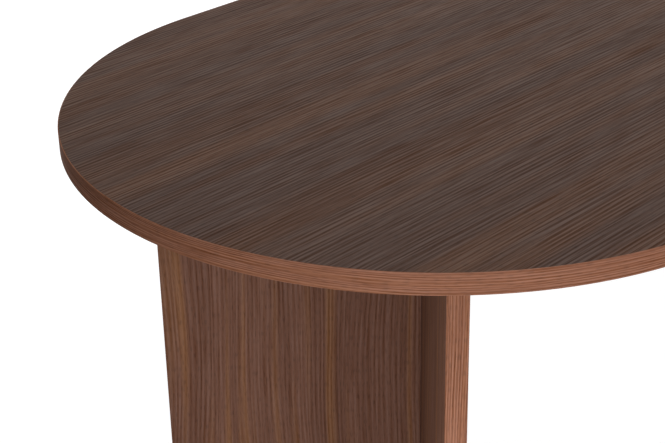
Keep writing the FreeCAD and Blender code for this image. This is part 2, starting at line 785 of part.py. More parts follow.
doc.recompute()
for item in doc.Objects:
    if "Invalid" in item.State or "Error" in item.State:
        raise RuntimeError(f"{item.Name} did not build: {item.State}")
for node in nodes:
    if node.Shape.isNull() or not node.Shape.isValid():
        raise RuntimeError(f"{node.Label} has no valid shape")
    node.Shape.exportStep(f"parts/{node.Label}.step")
    print(node.Label, len(node.Shape.Solids), round(node.Shape.Volume))
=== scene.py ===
"""Visual model of a dining table: a rounded walnut-decor top on two V-shaped board legs."""
import logging
import math
from collections.abc import Mapping, Sequence
from dataclasses import dataclass
from enum import Enum

import bmesh
import bpy
from mathutils import Matrix, Vector


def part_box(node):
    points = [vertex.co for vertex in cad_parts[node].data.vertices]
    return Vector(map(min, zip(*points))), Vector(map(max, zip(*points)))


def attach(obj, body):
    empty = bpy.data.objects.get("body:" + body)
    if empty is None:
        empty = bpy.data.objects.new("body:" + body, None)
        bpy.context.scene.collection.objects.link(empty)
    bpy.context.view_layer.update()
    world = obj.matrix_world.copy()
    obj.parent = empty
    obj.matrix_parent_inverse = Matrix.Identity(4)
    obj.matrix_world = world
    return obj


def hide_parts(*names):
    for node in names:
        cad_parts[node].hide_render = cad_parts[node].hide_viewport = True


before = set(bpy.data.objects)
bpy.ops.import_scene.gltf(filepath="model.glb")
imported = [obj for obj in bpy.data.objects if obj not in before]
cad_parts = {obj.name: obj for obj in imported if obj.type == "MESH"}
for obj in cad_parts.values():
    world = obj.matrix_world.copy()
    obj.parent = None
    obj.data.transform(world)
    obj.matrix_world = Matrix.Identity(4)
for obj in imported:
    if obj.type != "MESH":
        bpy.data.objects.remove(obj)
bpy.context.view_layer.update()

MM = 0.001
SHARP_ANGLE = math.radians(35)
WELD = 0.001 * MM
WHITE = (1.0, 1.0, 1.0, 1.0)
# Melamine, plastics and wood refract about alike.
POLYMER_IOR = 1.5
# Nearly all values of a noise lie in this span.
NOISE_SPAN = (0.3, 0.7)
HEXAGON_SIDES = 6
GRAIN_MAP = "grain"
ROOT_BODY = "table"

log = logging.getLogger("dining_table")

Pair = tuple[float, float]
Ring = list[Vector]
Corner = tuple[float, float, float]
Stop = tuple[float, str]


class Side(Enum):
    """The two legs, seen from the front."""

    LEFT = "left"
    RIGHT = "right"


class Arm(Enum):
    """The two panels of a leg: one runs through the corner, the other butts against it."""

    THROUGH = "through"
    BUTT = "butt"


class FootPlace(Enum):
    """Where a leg's three levelling feet stand."""

    APEX = "apex"
    THROUGH = "through"
    BUTT = "butt"


def linear(hex_colour: str) -> tuple[float, float, float, float]:
    """Turn an sRGB hex colour into a linear one.

    Args:
        hex_colour: Colour as "#rrggbb".

    Returns:
        Linear red, green, blue and an alpha of one.
    """
    shares = [int(hex_colour[i : i + 2], 16) / 255 for i in (1, 3, 5)]
    red, green, blue = (
        s / 12.92 if s <= 0.04045 else ((s + 0.055) / 1.055) ** 2.4 for s in shares
    )
    return red, green, blue, 1.0


def add_node(
    tree: bpy.types.NodeTree,
    kind: str,
    links: Mapping[str | int, object] | None = None,
    stops: Sequence[Stop] = (),
    **settings: object,
) -> bpy.types.Node:
    """Add a node with its settings, its colour stops and its inputs.

    Args:
        tree: Node tree that gets the node.
        kind: Blender's type name of the node.
        links: Input socket to either an output socket or a constant.
        stops: Positions and hex colours of a colour ramp.
        settings: Properties of the node.

    Returns:
        The new node.
    """
    node = tree.nodes.new(kind)
    for name, value in settings.items():
        setattr(node, name, value)
    for socket, source in (links or {}).items():
        if isinstance(source, bpy.types.NodeSocket):
            tree.links.new(source, node.inputs[socket])
        else:
            node.inputs[socket].default_value = source
    for index, (position, colour) in enumerate(stops):
        elements = node.color_ramp.elements
        element = elements[index] if index < 2 else elements.new(position)
        element.position = position
        element.color = linear(colour)
    return node


def new_material(name: str) -> tuple[bpy.types.Material, bpy.types.NodeTree]:
    """Make an empty node material.

    Args:
        name: Name of the real material.

    Returns:
        The material and its node tree.
    """
    material = bpy.data.materials.new(name)
    material.use_nodes = True
    material.node_tree.nodes.clear()
    return material, material.node_tree


def rounded(corners: Sequence[Corner], steps: int = 6) -> list[Pair]:
    """Round the corners of a closed outline.

    Args:
        corners: Position and rounding radius of each corner, in order.
        steps: Straight pieces in each rounding.

    Returns:
        The points of the outline.
    """
    points: list[Pair] = []
    for index, (x, y, radius) in enumerate(corners):
        if radius == 0:
            points.append((x, y))
            continue
        here = Vector((x, y))
        before = (Vector(corners[index - 1][:2]) - here).normalized()
        after = (Vector(corners[(index + 1) % len(corners)][:2]) - here).normalized()
        half = before.angle(after) / 2
        centre = here + (before + after).normalized() * (radius / math.sin(half))
        start = here + before * (radius / math.tan(half)) - centre
        turn = start.angle_signed(here + after * (radius / math.tan(half)) - centre)
        for step in range(steps + 1):
            arm = start.copy()
            arm.rotate(Matrix.Rotation(-turn * step / steps, 2))
            points.append(tuple(centre + arm))
    return points


def extents(points: Sequence[Vector], axes: Matrix) -> tuple[Vector, Vector]:
    """Measure points along turned axes.

    Args:
        points: The points, in the frame.
        axes: Placement of the axes in the frame.

    Returns:
        Lowest and highest corner along those axes.
    """
    inverse = axes.inverted()
    local = [inverse @ point for point in points]
    low = Vector(min(p[i] for p in local) for i in range(3))
    high = Vector(max(p[i] for p in local) for i in range(3))
    return low, high


def node_points(node: str) -> list[Vector]:
    """Give the points of a CAD node."""
    return [vertex.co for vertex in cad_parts[node].data.vertices]


def islands(node: str) -> list[list[Vector]]:
    """Split a CAD node of several solids into the points of each.

    Args:
        node: Name of the CAD node.

    Returns:
        The points of each separate solid.
    """
    copy = bmesh.new()
    copy.from_mesh(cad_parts[node].data)
    bmesh.ops.remove_doubles(copy, verts=copy.verts, dist=WELD)
    met: set[bmesh.types.BMVert] = set()
    found: list[list[Vector]] = []
    for first in copy.verts:
        if first in met:
            continue
        met.add(first)
        solid = [first]
        # The list grows while it is walked, until no vertex has a new neighbour.
        for vertex in solid:
            for other in (edge.other_vert(vertex) for edge in vertex.link_edges):
                if other not in met:
                    met.add(other)
                    solid.append(other)
        found.append([vertex.co.copy() for vertex in solid])
    copy.free()
    return found


class Shell:
    """A mesh made of skins over rings of points, with a grain map in metres."""

    def __init__(self) -> None:
        """Start an empty mesh."""
        self.mesh = bmesh.new()
        self.grain = self.mesh.loops.layers.uv.new(GRAIN_MAP)

    def skin(self, rings: Sequence[Ring], runs: Sequence[float], closed: bool = False) -> None:
        """Join rings of points by faces, and close both ends unless the rings go round.

        Args:
            rings: Rings with the same number of points.
            runs: Distance along the grain at each ring, with one more for a closed row.
            closed: True where the last ring joins the first.
        """
        rows = [[self.mesh.verts.new(point) for point in ring] for ring in rings]
        size = len(rings[0])
        across = [0.0]
        for index in range(size):
            across.append(across[-1] + (rings[0][(index + 1) % size] - rings[0][index]).length)
        for row in range(len(rows) if closed else len(rows) - 1):
            low, high = rows[row], rows[(row + 1) % len(rows)]
            for index in range(size):
                after = (index + 1) % size
                face = self.mesh.faces.new((low[index], low[after], high[after], high[index]))
                places = (
                    (runs[row], across[index]),
                    (runs[row], across[index + 1]),
                    (runs[row + 1], across[index + 1]),
                    (runs[row + 1], across[index]),
                )
                for loop, place in zip(face.loops, places):
                    loop[self.grain].uv = place
        if not closed:
            for row in (rows[0][::-1], rows[-1]):
                face = self.mesh.faces.new(row)
                for loop in face.loops:
                    loop[self.grain].uv = loop.vert.co.xy

    def piece(self, name: str, axes: Matrix, shift: Pair = (0, 0)) -> bpy.types.Object:
        """Turn the mesh into an object in the frame.

        Args:
            name: Name of the piece.
            axes: Placement of the mesh in the frame.
            shift: Shift of the grain map, so that no two boards share a figure.

        Returns:
            The new object, linked to the scene.
        """
        for face in self.mesh.faces:
            for loop in face.loops:
                loop[self.grain].uv += Vector(shift)
        bmesh.ops.recalc_face_normals(self.mesh, faces=self.mesh.faces)
        bmesh.ops.transform(self.mesh, matrix=axes, verts=self.mesh.verts)
        data = bpy.data.meshes.new(name)
        self.mesh.to_mesh(data)
        self.mesh.free()
        data.shade_smooth()
        data.set_sharp_from_angle(angle=SHARP_ANGLE)
        piece = bpy.data.objects.new(name, data)
        bpy.context.scene.collection.objects.link(piece)
        return piece


def turned(profile: Sequence[Pair], count: int) -> list[Ring]:
    """Turn a profile about the upright axis.

    Args:
        profile: Radius and height of each ring.
        count: Points in a ring.

    Returns:
        The rings, from the first point of the profile to the last.
    """
    angles = [2 * math.pi * index / count for index in range(count)]
    return [
        [Vector((radius * math.cos(a), radius * math.sin(a), height)) for a in angles]
        for radius, height in profile
    ]


def settle(piece: bpy.types.Object, finish: "Finish", body: str, *nodes: str) -> None:
    """Dress a piece, let it ride on its body and stand for its CAD nodes.

    Args:
        piece: The new piece.
        finish: Finish of its surface.
        body: CAD body that carries it.
        nodes: CAD nodes that it stands for.
    """
    piece.data.materials.append(finish.material())
    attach(piece, body)
    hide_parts(*nodes)
    log.info("%s rides on %s, %d faces", piece.name, body, len(piece.data.polygons))


def dress_node(node: str, finish: "Finish") -> None:
    """Give a CAD node whose shape is right its finish.

    Args:
        node: Name of the CAD node.
        finish: Finish of its surface.
    """
    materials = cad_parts[node].data.materials
    materials.clear()
    materials.append(finish.material())
    log.info("%s keeps its shape, in %s", node, finish.name)


@dataclass(frozen=True)
class Finish:
    """A surface finish, made once and shared by the pieces that have it."""

    name: str
    slot: str

    def material(self) -> bpy.types.Material:
        """Give the finish's material, made at the first call."""
        return bpy.data.materials.get(self.name) or self.make()

    def make(self) -> bpy.types.Material:
        """Make the finish's material."""
        raise NotImplementedError

    @staticmethod
    def surface(
        tree: bpy.types.NodeTree,
        links: Mapping[str | int, object],
        height: bpy.types.NodeSocket,
        bump: Pair,
    ) -> None:
        """Shade the surface and its fine relief.

        Args:
            tree: The material's node tree.
            links: The shader's inputs, apart from the relief.
            height: Height of the relief.
            bump: Strength of the relief, and its depth in millimetres.
        """
        strength, depth = bump
        normal = add_node(
            tree,
            "ShaderNodeBump",
            {"Strength": strength, "Distance": depth * MM, "Height": height},
        ).outputs[0]
        shader = add_node(tree, "ShaderNodeBsdfPrincipled", {**links, "Normal": normal})
        add_node(tree, "ShaderNodeOutputMaterial", {0: shader.outputs[0]})


@dataclass(frozen=True)
class Streaks:
    """One layer of streaks in a print.

    Width and run are shares of the lengths that the layer follows. Span is the part of its noise,
    about 0.5 on average, that the layer uses, and the seed sets it apart from the others.
    """

    width: float
    run: float
    detail: float
    seed: float
    span: Pair = (0.0, 1.0)
    roughness: float = 0.55


SWAY = Streaks(160, 1.2, 1, 3.7)
BANDS = Streaks(1, 2.2, 2, 11.3)
STRIPES = Streaks(1, 1.2, 2, 23.9)
WOBBLE = Streaks(4, 2, 2, 37.1)
LOOSE_LINES = Streaks(0.45, 0.35, 1, 43.3, (0.3, 0.7))
FIBRES = Streaks(0.3, 0.11, 1, 51.7, (0.25, 0.75))
ACCENTS = Streaks(0.6, 2, 1, 67.3)
GROUPS = Streaks(7, 0.3, 2, 83.9, (0.32, 0.65))
# Real pores are 0.2 mm wide; they are drawn 1.3 mm wide so that they show.
PORES = Streaks(1.3, 10, 0, 113.3, (0.56, 0.72))


@dataclass(frozen=True)
class WoodPrint(Finish):
    """Walnut figure printed on paper or foil: broad bands, straight lines and short pores.

    Widths (band, stripe, vein) are across the grain and the run is along it, in millimetres.
    Drift is how far the lines sway, in millimetres, and wobble how uneven their spacing is.
    The palest lines get white added to their colour: partly the print's pale lines, partly a
    painted sheen that stands in for gloss. The accent tints streaks of the print.
    """

    dark: str
    brown: str
    warm: str
    pale: str
    accent: str
    band: float
    stripe: float
    vein: float
    run: float
    drift: float
    wobble: float
    tone_swing: Pair
    vein_depth: float
    pale_lines_and_sheen: float
    fibre: float
    accent_share: float
    accent_start: float
    roughness: float
    specular: float
    accent_fade: float = 0.2
    brown_stop: float = 0.36
    warm_stop: float = 0.64
    loose_depth: float = 0.6
    group_strength: Pair = (0.4, 1.1)
    pore_depth: float = 0.2
    relief_reach: float = 1.2
    roughness_swing: float = 0.08
    bump: Pair = (0.25, 0.06)

    def make(self) -> bpy.types.Material:
        """Build the print's nodes.

        Returns:
            The new material.
        """
        material, tree = new_material(self.name)
        grain = self.swayed(tree)
        relief = self.relief(tree, grain)
        low, high = PORES.span
        pores = self.layer(tree, grain, PORES, 1, 1)
        pores = add_node(tree, "ShaderNodeMapRange", {0: pores, 1: low, 2: high}).outputs[0]
        shade: object = 1.0
        for part, depth in ((relief, self.vein_depth), (pores, -self.pore_depth)):
            shade = add_node(
                tree, "ShaderNodeMath", {0: part, 1: depth, 2: shade}, operation="MULTIPLY_ADD"
            ).outputs[0]
        reach = {0: relief, 1: -self.relief_reach, 2: self.relief_reach}
        # Painted sheen: a neutral white added to the colour of the palest lines, partly the print's
        # pale lines.
        pale_lines_and_sheen = add_node(tree, "ShaderNodeMapRange", {**reach, 4: self.pale_lines_and_sheen}).outputs[0]
        colour = add_node(
            tree,
            "ShaderNodeVectorMath",
            {0: self.tones(tree, grain), 1: shade, 2: pale_lines_and_sheen},
            operation="MULTIPLY_ADD",
        ).outputs[0]
        swing = self.roughness_swing
        rough = add_node(
            tree,
            "ShaderNodeMapRange",
            {**reach, 3: self.roughness + swing, 4: self.roughness - swing},
        ).outputs[0]
        links = {
            "Base Color": colour,
            "Roughness": rough,
            "IOR": POLYMER_IOR,
            "Specular IOR Level": self.specular,
        }
        self.surface(tree, links, shade, self.bump)
        return material

    def swayed(self, tree: bpy.types.NodeTree) -> bpy.types.NodeSocket:
        """Read the grain map and let its lines sway a little across the grain.

        Args:
            tree: The material's node tree.

        Returns:
            Grain coordinates in metres, along and across.
        """
        grain = add_node(tree, "ShaderNodeUVMap", uv_map=GRAIN_MAP).outputs[0]
        sway = self.layer(tree, grain, SWAY, 1, self.run)
        drift = (0, self.drift * MM, 0)
        offset = add_node(
            tree, "ShaderNodeVectorMath", {0: sway, 1: drift}, operation="MULTIPLY"
        ).outputs[0]
        return add_node(
            tree, "ShaderNodeVectorMath", {0: grain, 1: offset}, operation="ADD"
        ).outputs[0]

    def relief(self, tree: bpy.types.NodeTree, grain: bpy.types.NodeSocket) -> bpy.types.NodeSocket:
        """Lay finer fibres over the growth lines.

        Args:
            tree: The material's node tree.
            grain: Grain coordinates in metres.

        Returns:
            Lines and fibres, about -1 for dark to 1 for light.
        """
        low, high = FIBRES.span
        fibre = self.layer(tree, grain, FIBRES, self.vein, self.run)
        fibre = add_node(
            tree, "ShaderNodeMapRange", {0: fibre, 1: low, 2: high, 3: -self.fibre, 4: self.fibre}
        ).outputs[0]
        return add_node(
            tree, "ShaderNodeMath", {0: self.lines(tree, grain), 1: fibre}, operation="ADD"
        ).outputs[0]

    def lines(self, tree: bpy.types.NodeTree, grain: bpy.types.NodeSocket) -> bpy.types.NodeSocket:
        """Draw the growth lines: near-even spacing, stronger in some places than in others.

        Args:
            tree: The material's node tree.
            grain: Grain coordinates in metres.

        Returns:
            The lines, from -1 for dark to 1 for light.
        """
        across = add_node(tree, "ShaderNodeSeparateXYZ", {0: grain}).outputs[1]
        wobble = self.layer(tree, grain, WOBBLE, self.vein, self.run)
        turn = add_node(
            tree, "ShaderNodeMath", {0: wobble, 1: 2 * math.pi * self.wobble}, operation="MULTIPLY"
        ).outputs[0]
        phase = add_node(
            tree,
            "ShaderNodeMath",
            {0: across, 1: 2 * math.pi / (self.vein * MM), 2: turn},
            operation="MULTIPLY_ADD",
        ).outputs[0]
        wave = add_node(tree, "ShaderNodeMath", {0: phase}, operation="SINE").outputs[0]
        low, high = LOOSE_LINES.span
        depth = self.loose_depth
        loose = self.layer(tree, grain, LOOSE_LINES, self.vein, self.run)
        loose = add_node(
            tree, "ShaderNodeMapRange", {0: loose, 1: low, 2: high, 3: -depth, 4: depth}
        ).outputs[0]
        both = add_node(tree, "ShaderNodeMath", {0: wave, 1: loose}, operation="ADD").outputs[0]
        low, high = GROUPS.span
        weak, strong = self.group_strength
        group = self.layer(tree, grain, GROUPS, self.vein, self.run)
        strength = add_node(
            tree, "ShaderNodeMapRange", {0: group, 1: low, 2: high, 3: weak, 4: strong}
        ).outputs[0]
        return add_node(
            tree, "ShaderNodeMath", {0: both, 1: strength}, operation="MULTIPLY"
        ).outputs[0]

    def tones(self, tree: bpy.types.NodeTree, grain: bpy.types.NodeSocket) -> bpy.types.NodeSocket:
        """Lay down the broad colours: bands and stripes, with streaks of an accent.

        Args:
            tree: The material's node tree.
            grain: Grain coordinates in metres.

        Returns:
            The colour under the fine lines.
        """
        band = self.layer(tree, grain, BANDS, self.band, self.run)
        stripe = self.layer(tree, grain, STRIPES, self.stripe, self.run)
        # The layers are about 0.5 on average, and so is the tone.
        tone: object = 0.5 - 0.5 * sum(self.tone_swing)
        for layer, swing in zip((band, stripe), self.tone_swing):
            tone = add_node(
                tree, "ShaderNodeMath", {0: layer, 1: swing, 2: tone}, operation="MULTIPLY_ADD"
            ).outputs[0]
        colour = add_node(
            tree,
            "ShaderNodeValToRGB",
            {0: tone},
            stops=(
                (0.0, self.dark),
                (1.0, self.pale),
                (self.brown_stop, self.brown),
                (self.warm_stop, self.warm),
            ),
        ).outputs[0]
        streak = self.layer(tree, grain, ACCENTS, self.band, self.run)
        start, end = self.accent_start, self.accent_start + self.accent_fade
        where = add_node(
            tree, "ShaderNodeMapRange", {0: streak, 1: start, 2: end, 4: self.accent_share}
        ).outputs[0]
        mix = add_node(
            tree, "ShaderNodeMix", {0: where, 6: colour, 7: linear(self.accent)}, data_type="RGBA"
        )
        return mix.outputs[2]

    @staticmethod
    def layer(
        tree: bpy.types.NodeTree,
        grain: bpy.types.NodeSocket,
        streaks: Streaks,
        width: float,
        run: float,
    ) -> bpy.types.NodeSocket:
        """Add one layer of streaks.

        Args:
            tree: The material's node tree.
            grain: Grain coordinates in metres, along and across.
            streaks: The layer.
            width: Width that the layer follows, in millimetres.
            run: Length that the layer follows, in millimetres.

        Returns:
            The layer's value, about 0.5 on average.
        """
        scale = (1 / (streaks.run * run * MM), 1 / (streaks.width * width * MM), 0)
        place = add_node(
            tree,
            "ShaderNodeVectorMath",
            {0: grain, 1: scale, 2: (streaks.seed, 2 * streaks.seed, 0)},
            operation="MULTIPLY_ADD",
        ).outputs[0]
        noise = add_node(
            tree,
            "ShaderNodeTexNoise",
            {
                "Vector": place,
                "Scale": 1.0,
                "Detail": streaks.detail,
                "Roughness": streaks.roughness,
            },
            noise_dimensions="2D",
        )
        return noise.outputs[0]


@dataclass(frozen=True)
class Moulding(Finish):
    """Injection-moulded plastic: an even colour with a fine spark-eroded texture.

    The sizes of the grit and of the wear's cloud are in millimetres.
    """

    colour: str
    worn: str
    # Real grit is about 0.05 mm across; it is drawn ten times coarser so that it shows.
    grit: float
    roughness: float
    cloud: float = 12
    wear_span: Pair = (0.35, 0.75)
    roughness_swing: float = 0.07
    bump: Pair = (0.3, 0.05)

    def make(self) -> bpy.types.Material:
        """Build the plastic's nodes.

        Returns:
            The new material.
        """
        material, tree = new_material(self.name)
        place = add_node(tree, "ShaderNodeTexCoord").outputs["Object"]
        grit, cloud = (
            add_node(
                tree,
                "ShaderNodeTexNoise",
                {"Vector": place, "Scale": 1 / (size * MM), "Detail": detail},
            ).outputs[0]
            for size, detail in ((self.grit, 2.0), (self.cloud, 3.0))
        )
        even, worn = self.wear_span
        colour = add_node(
            tree, "ShaderNodeValToRGB", {0: cloud}, stops=((even, self.colour), (worn, self.worn))
        ).outputs[0]
        low, high = NOISE_SPAN
        swing = self.roughness_swing
        rough = add_node(
            tree,
            "ShaderNodeMapRange",
            {0: cloud, 1: low, 2: high, 3: self.roughness - swing, 4: self.roughness + swing},
        ).outputs[0]
        links = {"Base Color": colour, "Roughness": rough, "IOR": POLYMER_IOR}
        self.surface(tree, links, grit, self.bump)
        return material


@dataclass(frozen=True)
class PlatedMetal(Finish):
    """Cast or turned metal under a thin plating: cloudy gloss and faint turning marks.

    The cloud's size and the marks' length and spacing are in millimetres.
    """

    colour: str
    shade: str
    roughness: float
    cloud: float = 3
    mark_length: float = 6
    # Real marks are 0.1 mm apart; they are drawn 0.4 mm apart so that they show.
    mark_spacing: float = 0.4
    shade_span: Pair = (0.3, 0.65)
    roughness_swing: Pair = (0.1, 0.08)
    bump: Pair = (0.2, 0.03)

    def make(self) -> bpy.types.Material:
        """Build the metal's nodes.

        Returns:
            The new material.
        """
        material, tree = new_material(self.name)
        place = add_node(tree, "ShaderNodeTexCoord").outputs["Object"]
        cloud = add_node(
            tree,
            "ShaderNodeTexNoise",
            {"Vector": place, "Scale": 1 / (self.cloud * MM), "Detail": 4.0},
        ).outputs[0]
        sizes = (self.mark_length, self.mark_length, self.mark_spacing)
        rings = add_node(
            tree,
            "ShaderNodeVectorMath",
            {0: place, 1: tuple(1 / (size * MM) for size in sizes)},
            operation="MULTIPLY",
        ).outputs[0]
        marks = add_node(tree, "ShaderNodeTexNoise", {"Vector": rings, "Scale": 1.0}).outputs[0]
        dull, bright = self.shade_span
        colour = add_node(
            tree,
            "ShaderNodeValToRGB",
            {0: cloud},
            stops=((dull, self.shade), (bright, self.colour)),
        ).outputs[0]
        low, high = NOISE_SPAN
        rise, fall = self.roughness_swing
        rough = add_node(
            tree,
            "ShaderNodeMapRange",
            {0: cloud, 1: low, 2: high, 3: self.roughness + rise, 4: self.roughness - fall},
        ).outputs[0]
        links = {"Base Color": colour, "Metallic": 1.0, "Roughness": rough}
        self.surface(tree, links, marks, self.bump)
        return material


@dataclass(frozen=True)
class TurnedBeech(Finish):
    """Beech dowel rod: pale, with short dark flecks and fine growth lines.

    The growth lines' spacing and the flecks' size are in millimetres.
    """

    pale: str
    deep: str
    fleck: str
    growth: float = 2.5
    fleck_size: float = 0.6
    fleck_span: Pair = (0.62, 0.7)
    fleck_share: float = 0.5
    roughness: float = 0.6
    bump: Pair = (0.3, 0.08)

    def make(self) -> bpy.types.Material:
        """Build the wood's nodes.

        Returns:
            The new material.
        """
        material, tree = new_material(self.name)
        place = add_node(tree, "ShaderNodeTexCoord").outputs["Object"]
        growth = add_node(
            tree,
            "ShaderNodeTexNoise",
            {"Vector": place, "Scale": 1 / (self.growth * MM), "Detail": 3.0, "Distortion": 0.4},
        ).outputs[0]
        flecks = add_node(
            tree,
            "ShaderNodeTexNoise",
            {"Vector": place, "Scale": 1 / (self.fleck_size * MM), "Detail": 1.0},
        ).outputs[0]
        low, high = NOISE_SPAN
        colour = add_node(
            tree, "ShaderNodeValToRGB", {0: growth}, stops=((low, self.deep), (high, self.pale))
        ).outputs[0]
        start, end = self.fleck_span
        where = add_node(
            tree, "ShaderNodeMapRange", {0: flecks, 1: start, 2: end, 4: self.fleck_share}
        ).outputs[0]
        colour = add_node(
            tree, "ShaderNodeMix", {0: where, 6: colour, 7: linear(self.fleck)}, data_type="RGBA"
        ).outputs[2]
        links = {"Base Color": colour, "Roughness": self.roughness, "IOR": POLYMER_IOR}
        self.surface(tree, links, flecks, self.bump)
        return material


# Decor paper pressed in melamine on the top: a walnut in brown and greyish zones, with
# straight lines the length of the board and a low sheen. Its colours are darker than the legs',
# partly the print's own and partly painted shade, and its palest lines carry a painted sheen.
TOP_DECOR = WoodPrint(
    name="melamine_walnut_top",
    slot="board_top",
    dark="#351c0b",
    brown="#412512",
    warm="#4b2f1d",
    pale="#563927",
    accent="#3a2a24",
    band=75,
    stripe=24,
    vein=5.8,
    run=600,
    drift=4,
    wobble=2.0,
    tone_swing=(0.95, 0.18),
    vein_depth=0.11,
    pale_lines_and_sheen=0.031,
    fibre=0.9,
    accent_share=0.5,
    accent_start=0.4,
    roughness=0.6,
    specular=0.06,
)

# Pressed paper on the legs too: a paler, redder walnut with amber streaks, whose palest lines carry
# a painted sheen.
LEG_DECOR = WoodPrint(
    name="melamine_walnut_leg",
    slot="board_leg",
    dark="#5c3523",
    brown="#6d4634",
    warm="#7b5341",
    pale="#8c6350",
    accent="#93623a",
    band=34,
    stripe=12,
    vein=6.0,
    run=420,
    drift=40,
    wobble=2.5,
    tone_swing=(0.62, 0.3),
    vein_depth=0.085,
    pale_lines_and_sheen=0.0407,
    fibre=0.6,
    accent_share=0.58,
    accent_start=0.52,
    roughness=0.5,
    specular=0.02,
)

# Printed ABS edging, glued on hot and scraped to a small round: matt, and redder than the boards,
# with fine lines along the strip. Its sheen is painted in, as white added to the palest lines.
EDGING = WoodPrint(
    name="abs_edging_walnut",
    slot="edging_plastic",
    dark="#724027",
    brown="#7f4d33",
    warm="#8a573d",
    pale="#976548",
    accent="#925b39",
    band=12,
    stripe=5,
    vein=2.9,
    run=420,
    drift=12,
    wobble=2.0,
    tone_swing=(0.7, 0.6),
    vein_depth=0.178,
    pale_lines_and_sheen=0.06,
    fibre=0.6,
    accent_share=0.4,
    accent_start=0.48,
    roughness=0.5,
    specular=0.003,
)

# Moulded polypropylene cover cap: brown and waxy, with the matt grain of its mould.
CAP_PLASTIC = Moulding("polypropylene_cap_brown", "cap_plastic", "#5a3b2b", "#68462f", 0.5, 0.45)
# Moulded polyethylene glide: near black, scuffed a little paler.
PAD_PLASTIC = Moulding("polyethylene_glide_black", "pad_plastic", "#1d1c1b", "#2c2a28", 0.6, 0.55)
# Die-cast zinc alloy, left as it leaves the mould and tumbled: a dull blue-grey metal.
ZINC = PlatedMetal("zinc_diecast_cam", "zinc_cam", "#b4b7ba", "#8f9396", 0.42)
# Turned mild steel, bright zinc plated: a pale metal with fine rings from the lathe.
BOLT_STEEL = PlatedMetal("steel_zinc_plated_bolt", "steel_bolt", "#cfcdc8", "#a9a8a5", 0.3)
INSERT_STEEL = PlatedMetal("steel_zinc_plated_insert", "steel_insert", "#c9c4b4", "#a39e90", 0.34)
STUD_STEEL = PlatedMetal("steel_zinc_plated_stud", "steel_stud", "#c8c9c8", "#9fa1a2", 0.3)
# Beech rod, fluted and cut to length: pale pinkish wood with short flecks.
BEECH = TurnedBeech("beech_dowel_rod", "beech_dowel", "#d3b18a", "#bd956c", "#8e6747")

# Where along and across the print each leg panel is cut from, in metres.
PRINT_CUTS: dict[tuple[Side, Arm], Pair] = {
    (Side.LEFT, Arm.THROUGH): (5.0, 1.7),
    (Side.LEFT, Arm.BUTT): (12.0, 14.274),
    (Side.RIGHT, Arm.THROUGH): (15.0, 5.1),
    (Side.RIGHT, Arm.BUTT): (20.0, 6.8),
}


@dataclass
class Tabletop:
    """The board with half-round ends, and the edging glued round it."""

    board_node: str = "tabletop_board"
    edging_node: str = "tabletop_edging"
    arris: float = 0.8 * MM
    arc_steps: int = 96

    def path(self, inset: float) -> list[tuple[Vector, float]]:
        """Trace the outline, round the right end first.

        Args:
            inset: Distance inside the edging's outer face.

        Returns:
            Points of the outline, each with the distance gone along the outer face.
        """
        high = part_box(self.edging_node)[1]
        radius = high.y
        straight = high.x - radius
        points: list[tuple[Vector, float]] = []
        run = 0.0
        for centre, start in ((straight, -math.pi / 2), (-straight, math.pi / 2)):
            for step in range(self.arc_steps + 1):
                angle = start + math.pi * step / self.arc_steps
                out = Vector((math.cos(angle), math.sin(angle), 0))
                points.append((Vector((centre, 0, 0)) + out * (radius - inset), run))
                run += radius * math.pi / self.arc_steps if step < self.arc_steps else 2 * straight
        points.append((points[0][0], run))
        return points

    def build(self) -> None:
        """Build and dress the board and its edging."""
        self.build_board()
        self.build_edging()

    def build_board(self) -> None:
        """Build the board inside the edging."""
        low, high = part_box(self.board_node)
        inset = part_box(self.edging_node)[1].y - high.y
        outline = [point for point, _ in self.path(inset)][:-1]
        rings = [[point + Vector((0, 0, z)) for point in outline] for z in (low.z, high.z)]
        shell = Shell()
        shell.skin(rings, (0, high.z - low.z))
        settle(shell.piece("tabletop_board_v", Matrix()), TOP_DECOR, ROOT_BODY, self.board_node)

    def build_edging(self) -> None:
        """Build the edging, rounded at both arrises."""
        low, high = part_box(self.edging_node)
        thickness = high.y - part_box(self.board_node)[1].y
        section = rounded(
            (
                (thickness, low.z, 0),
                (thickness, high.z, 0),
                (0, high.z, self.arris),
                (0, low.z, self.arris),
            )
        )
        paths = [self.path(inset) for inset, _ in section]
        runs = [run for _, run in paths[0]]
        rings = [
            [path[index][0] + Vector((0, 0, z)) for path, (_, z) in zip(paths, section)]
            for index in range(len(runs) - 1)
        ]
        shell = Shell()
        shell.skin(rings, runs, closed=True)
        settle(shell.piece("tabletop_edging_v", Matrix()), EDGING, ROOT_BODY, self.edging_node)


